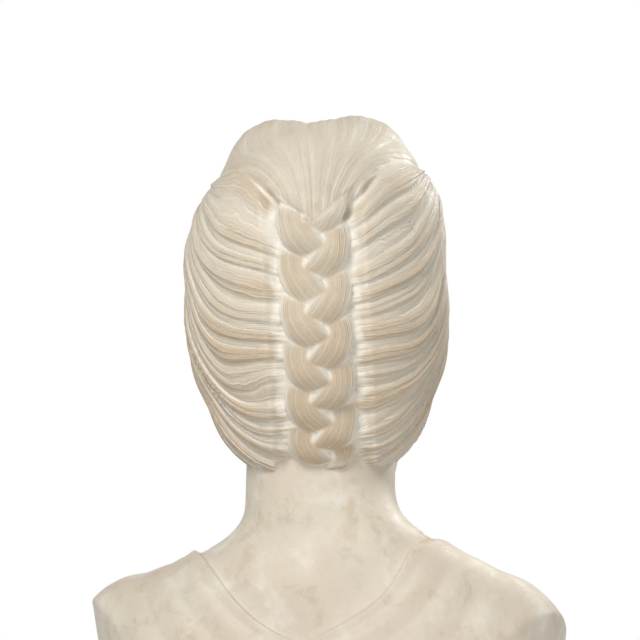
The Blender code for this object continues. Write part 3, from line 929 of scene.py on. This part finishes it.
def carved_marble():
    """Old white marble: creamy, tan where soil has stained the crests, paler where it is sheltered, and
    darkened towards brown in the deepest creases by painted shade with some dust.
    """
    paint = Paint(
        "carved_marble", Subsurface_Weight=0.12, Subsurface_Radius=(1.0, 0.82, 0.62), Subsurface_Scale=0.003
    )
    paint.shader.inputs["IOR"].default_value = MARBLE_IOR
    strand, crest = paint.field("strand"), paint.field("crest")
    hairy, hollow = paint.field("hairy"), paint.field("hollow")
    stain = paint.ramp(paint.noise(0.060, 4, 0.55, 0.4), 0.36, 0.64)
    clouds = paint.ramp(paint.noise(0.024, 5, 0.6, 0.8), 0.45, 0.75)
    height = paint.node("SeparateXYZ", Vector=paint.place).outputs["Z"]
    lower = paint.ramp(height, (EYE_LEVEL + 70) * MM, (EYE_LEVEL - 100) * MM)
    grain = paint.noise(0.0011, 2, 0.6)

    raised = paint.ramp(paint.add(crest, paint.times(hollow, -0.9)), 0.0, 0.85)
    worn = paint.times(raised, paint.add(paint.times(stain, 0.36), paint.add(paint.times(lower, 0.50), 0.30)))
    toned = paint.mix(paint.times(paint.times(lower, hairy), 0.34), CREAM, TAN)
    colour = paint.mix(paint.times(worn, hairy), toned, TAN)
    smooth = paint.maths("SUBTRACT", 1.0, paint.ramp(hairy, 0.1, 0.5))
    colour = paint.mix(paint.times(smooth, paint.times(stain, 0.60)), colour, ROSE)
    mottle = paint.ramp(paint.noise(0.019, 6, 0.68, 0.5), 0.50, 0.68)
    colour = paint.mix(paint.times(smooth, paint.times(mottle, 0.42)), colour, TAN)
    bleached = paint.ramp(paint.noise(0.034, 4, 0.6, 0.3), 0.52, 0.70)
    colour = paint.mix(paint.times(smooth, paint.times(bleached, 0.60)), colour, PALE)
    colour = paint.mix(paint.times(clouds, 0.22), colour, GREY)
    sheltered = paint.times(paint.ramp(hollow, 0.08, 0.45), paint.add(paint.times(hairy, 0.58), 0.22))
    colour = paint.mix(sheltered, colour, PALE)
    # Painted shade: where the occlusion measure in hollow is highest (plait crevices, under the hair's roll,
    # eye and nostril hollows) the colour is darkened towards brown as shade would darken it, with a little
    # dust there too.
    colour = paint.mix(paint.times(paint.ramp(hollow, 0.75, 1.0), 0.30), colour, BROWN)

    flow = paint.add(strand, paint.times(paint.noise(0.016, 3, 0.5), 1.5))
    fine = paint.maths("SINE", paint.times(flow, math.tau * 1.85))
    coarse = paint.maths("SINE", paint.times(flow, math.tau * 0.72))
    broken = paint.ramp(paint.noise(0.012, 3, 0.6), 0.34, 0.62)
    combed = paint.times(hairy, paint.field("clear"))
    line = paint.times(paint.times(paint.ramp(fine, 0.15, 0.95), broken), combed)
    scored = paint.times(paint.ramp(coarse, 0.55, 1.0), combed)
    colour = paint.mix(paint.times(line, 0.42), colour, PALE)
    colour = paint.mix(paint.times(scored, 0.34), colour, PALE)

    cell = paint.node("TexVoronoi", Vector=paint.place, Scale=150.0).outputs["Distance"]
    sparse = paint.ramp(paint.noise(0.030, 2, 0.5), 0.66, 0.74)
    pits = paint.times(paint.ramp(cell, 0.16, 0.06), sparse)
    vein = paint.ramp(paint.maths("ABSOLUTE", paint.add(paint.noise(0.11, 5, 0.62, 1.4), -0.5)), 0.012, 0.0)
    colour = paint.mix(paint.times(vein, 0.16), colour, GREY)
    colour = paint.mix(paint.times(pits, 0.75), colour, BROWN)
    for centre, radius, strength, tint in BLEMISHES:
        colour = paint.mix(paint.times(spot(paint, centre, radius), strength), colour, tint)
    colour = paint.mix(paint.times(paint.ramp(grain, 0.25, 0.75), 0.10), colour, PALE)

    relief = paint.add(paint.times(line, -0.18), paint.times(scored, -0.26))
    relief = paint.add(relief, paint.times(paint.noise(0.0075, 4, 0.62), 0.34))
    relief = paint.add(relief, paint.times(grain, 0.10))
    relief = paint.add(relief, paint.times(pits, -0.8))
    rough = paint.ramp(paint.noise(0.016, 4, 0.6), 0.3, 0.7, 0.46, 0.66)
    return paint.finish(colour, rough, relief)


def stand_marble():
    """Later, machine-turned marble: greyer, veined, with a dull polish and dusty, bruised edges."""
    paint = Paint("stand_marble")
    paint.shader.inputs["IOR"].default_value = MARBLE_IOR
    drift = paint.noise(0.09, 5, 0.6, 1.8)
    vein = paint.ramp(paint.maths("ABSOLUTE", paint.add(drift, -0.5)), 0.045, 0.0)
    thin = paint.ramp(paint.maths("ABSOLUTE", paint.add(paint.noise(0.05, 6, 0.65, 2.4), -0.48)), 0.014, 0.0)
    clouds = paint.ramp(paint.noise(0.035, 5, 0.6, 0.6), 0.35, 0.7)
    colour = paint.mix(clouds, (0.640, 0.618, 0.570), (0.735, 0.712, 0.665))
    colour = paint.mix(paint.times(vein, 0.45), colour, (0.360, 0.360, 0.350))
    colour = paint.mix(paint.times(thin, 0.40), colour, (0.470, 0.410, 0.310))
    grime = paint.ramp(paint.noise(0.010, 4, 0.7), 0.55, 0.75)
    colour = paint.mix(paint.times(grime, 0.15), colour, (0.470, 0.400, 0.300))
    relief = paint.add(paint.times(paint.noise(0.004, 4, 0.6), 0.10), paint.times(thin, -0.10))
    rough = paint.ramp(paint.noise(0.02, 4, 0.6), 0.3, 0.7, 0.26, 0.44)
    return paint.finish(colour, rough, relief)


def lime_mortar():
    paint = Paint("lime_mortar")
    sand = paint.noise(0.0012, 4, 0.7)
    colour = paint.mix(paint.ramp(sand, 0.35, 0.65), (0.560, 0.510, 0.420), (0.770, 0.735, 0.655))
    colour = paint.mix(paint.times(paint.noise(0.015, 3), 0.3), colour, (0.500, 0.450, 0.370))
    return paint.finish(colour, paint.ramp(sand, 0.3, 0.7, 0.82, 0.96), paint.times(sand, 0.6))


def threaded_steel():
    paint = Paint("threaded_steel", Metallic=1.0)
    rust = paint.ramp(paint.noise(0.005, 5, 0.65), 0.52, 0.70)
    colour = paint.mix(rust, (0.540, 0.545, 0.555), (0.300, 0.190, 0.120))
    height = paint.node("SeparateXYZ", Vector=paint.place).outputs["Z"]
    thread = paint.maths("SINE", paint.times(height, math.tau / THREAD_PITCH))
    rough = paint.ramp(paint.noise(0.003, 4, 0.6), 0.3, 0.7, 0.28, 0.55)
    return paint.finish(colour, rough, paint.add(paint.times(thread, 0.3), paint.times(rust, 0.1)))


def setting_resin():
    paint = Paint("setting_resin")
    cloudy = paint.noise(0.004, 4, 0.6)
    colour = paint.mix(cloudy, (0.420, 0.360, 0.260), (0.500, 0.450, 0.350))
    return paint.finish(colour, paint.ramp(cloudy, 0.3, 0.7, 0.45, 0.65), paint.times(cloudy, 0.15))


def green_felt():
    paint = Paint("green_felt", Sheen_Weight=0.5, Sheen_Roughness=0.5)
    fibre = paint.noise(0.0009, 5, 0.7, 2.0)
    matted = paint.noise(0.012, 3, 0.6)
    colour = paint.mix(fibre, (0.030, 0.085, 0.045), (0.075, 0.160, 0.095))
    colour = paint.mix(paint.times(matted, 0.4), colour, (0.095, 0.150, 0.100))
    return paint.finish(colour, paint.ramp(matted, 0.3, 0.7, 0.88, 0.98), paint.times(fibre, 0.5))


def studio_floor():
    paint = Paint("studio_floor")
    soft = paint.noise(0.25, 3)
    colour = paint.mix(soft, (0.800, 0.795, 0.785), (0.830, 0.826, 0.818))
    return paint.finish(colour, paint.ramp(soft, 0.3, 0.7, 0.7, 0.85), paint.times(soft, 0.1))


def dress(thing, material):
    """Gives the object this one material."""
    if not thing.material_slots:
        thing.data.materials.append(material)
    for slot in thing.material_slots:
        slot.material = material


# ---------------------------------------------------------------- the scene


def make_object():
    bust = carve_bust()
    dress(bust, carved_marble())
    socle = stone_ring("socle_marble", eased_corners(socle_outline(), 0.9))
    plinth = stone_ring("plinth_marble", eased_corners(plinth_outline(), 2.4, 6), square_beyond=40)
    stand = stand_marble()
    for piece, node, slot in (
        (bust, "bust", "marble"),
        (socle, "socle", "stand_marble"),
        (plinth, "plinth", "stand_marble"),
    ):
        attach(piece, "root")
        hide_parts(node)
    dress(socle, stand)
    dress(plinth, stand)
    mortar, steel = lime_mortar(), threaded_steel()
    for node, material in (
        ("plinth_mortar", mortar),
        ("socle_mortar", mortar),
        ("threaded_rod", steel),
        ("washer", steel),
        ("nut", steel),
        ("rod_setting", setting_resin()),
        ("base_felt", green_felt()),
    ):
        dress(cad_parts[node], material)


CAMERA_AZIMUTH = math.radians(192.0)
BACK = Vector((math.sin(CAMERA_AZIMUTH), -math.cos(CAMERA_AZIMUTH), 0))
RIGHT = Vector((-BACK.y, BACK.x, 0))
HEAD_MIDDLE = TURN @ Vector((0, 0, -NECK_PIVOT[2])) + Vector(NECK_PIVOT)
AIM_BELOW_EYES = 19.0
AIM_ASIDE = 0.0029
AIM = Vector((HEAD_MIDDLE.x, HEAD_MIDDLE.y, EYE_LEVEL - AIM_BELOW_EYES)) * MM + RIGHT * AIM_ASIDE
LENS, SENSOR = 100.0, 36.0
FRAME_WIDTH = 0.461  # what the picture takes in across at the aim
FLOOR_HALF = 1.15
ROOM_LIGHT = 0.38  # the room's strength on the stone; the camera sees it at 1
WARM, COOL = (1.0, 0.985, 0.96), (0.99, 0.995, 1.0)

# (name, distance towards the camera, to its right and up from the aim, size in metres, watts, colour)
LIGHTS = (
    ("key", 1.2, -0.45, 0.95, 0.7, 16.5, WARM),
    ("fill", 1.5, 0.4, -0.1, 1.2, 3.6, COOL),
    ("front_key", -0.95, 1.0, 0.75, 0.5, 14.0, WARM),
    ("front_fill", -1.4, -0.6, 0.0, 1.2, 2.5, COOL),
)


def add_light(name, along, across, up, size, power, colour):
    data = bpy.data.lights.new(name, "AREA")
    data.shape = "DISK"
    data.size = size
    data.energy = power
    data.color = colour
    light = bpy.data.objects.new(name, data)
    light.location = AIM + BACK * along + RIGHT * across + Vector((0, 0, up))
    light.rotation_euler = (light.location - AIM).to_track_quat("Z", "Y").to_euler()
    bpy.context.scene.collection.objects.link(light)


def white_room():
    """A white room that looks brighter than the light it gives, as an overexposed backdrop does."""
    world = bpy.data.worlds.new("white_room")
    world.use_nodes = True
    nodes, links = world.node_tree.nodes, world.node_tree.links
    seen = nodes.new("ShaderNodeLightPath").outputs["Is Camera Ray"]
    strength = nodes.new("ShaderNodeMapRange")
    strength.inputs["To Min"].default_value = ROOM_LIGHT
    strength.inputs["To Max"].default_value = 1.0
    links.new(seen, strength.inputs["Value"])
    background = nodes["Background"]
    background.inputs["Color"].default_value = (1.0, 1.0, 1.0, 1.0)
    links.new(strength.outputs[0], background.inputs["Strength"])
    return world


def make_floor():
    mesh = bpy.data.meshes.new("floor")
    mesh_edit = bmesh.new()
    bmesh.ops.create_grid(mesh_edit, x_segments=8, y_segments=8, size=FLOOR_HALF)
    mesh_edit.to_mesh(mesh)
    mesh_edit.free()
    return bpy.data.objects.new("floor", mesh)


def make_studio():
    scene = bpy.context.scene
    scene.view_settings.view_transform = "Standard"
    scene.world = white_room()

    floor = make_floor()
    scene.collection.objects.link(floor)
    dress(floor, studio_floor())

    for light in LIGHTS:
        add_light(*light)

    lens = bpy.data.cameras.new("camera")
    lens.lens, lens.sensor_width = LENS, SENSOR
    camera = bpy.data.objects.new("camera", lens)
    camera.location = AIM + BACK * (FRAME_WIDTH * LENS / SENSOR)
    camera.rotation_euler = BACK.to_track_quat("Z", "Y").to_euler()
    scene.collection.objects.link(camera)
    scene.camera = camera


make_object()
make_studio()
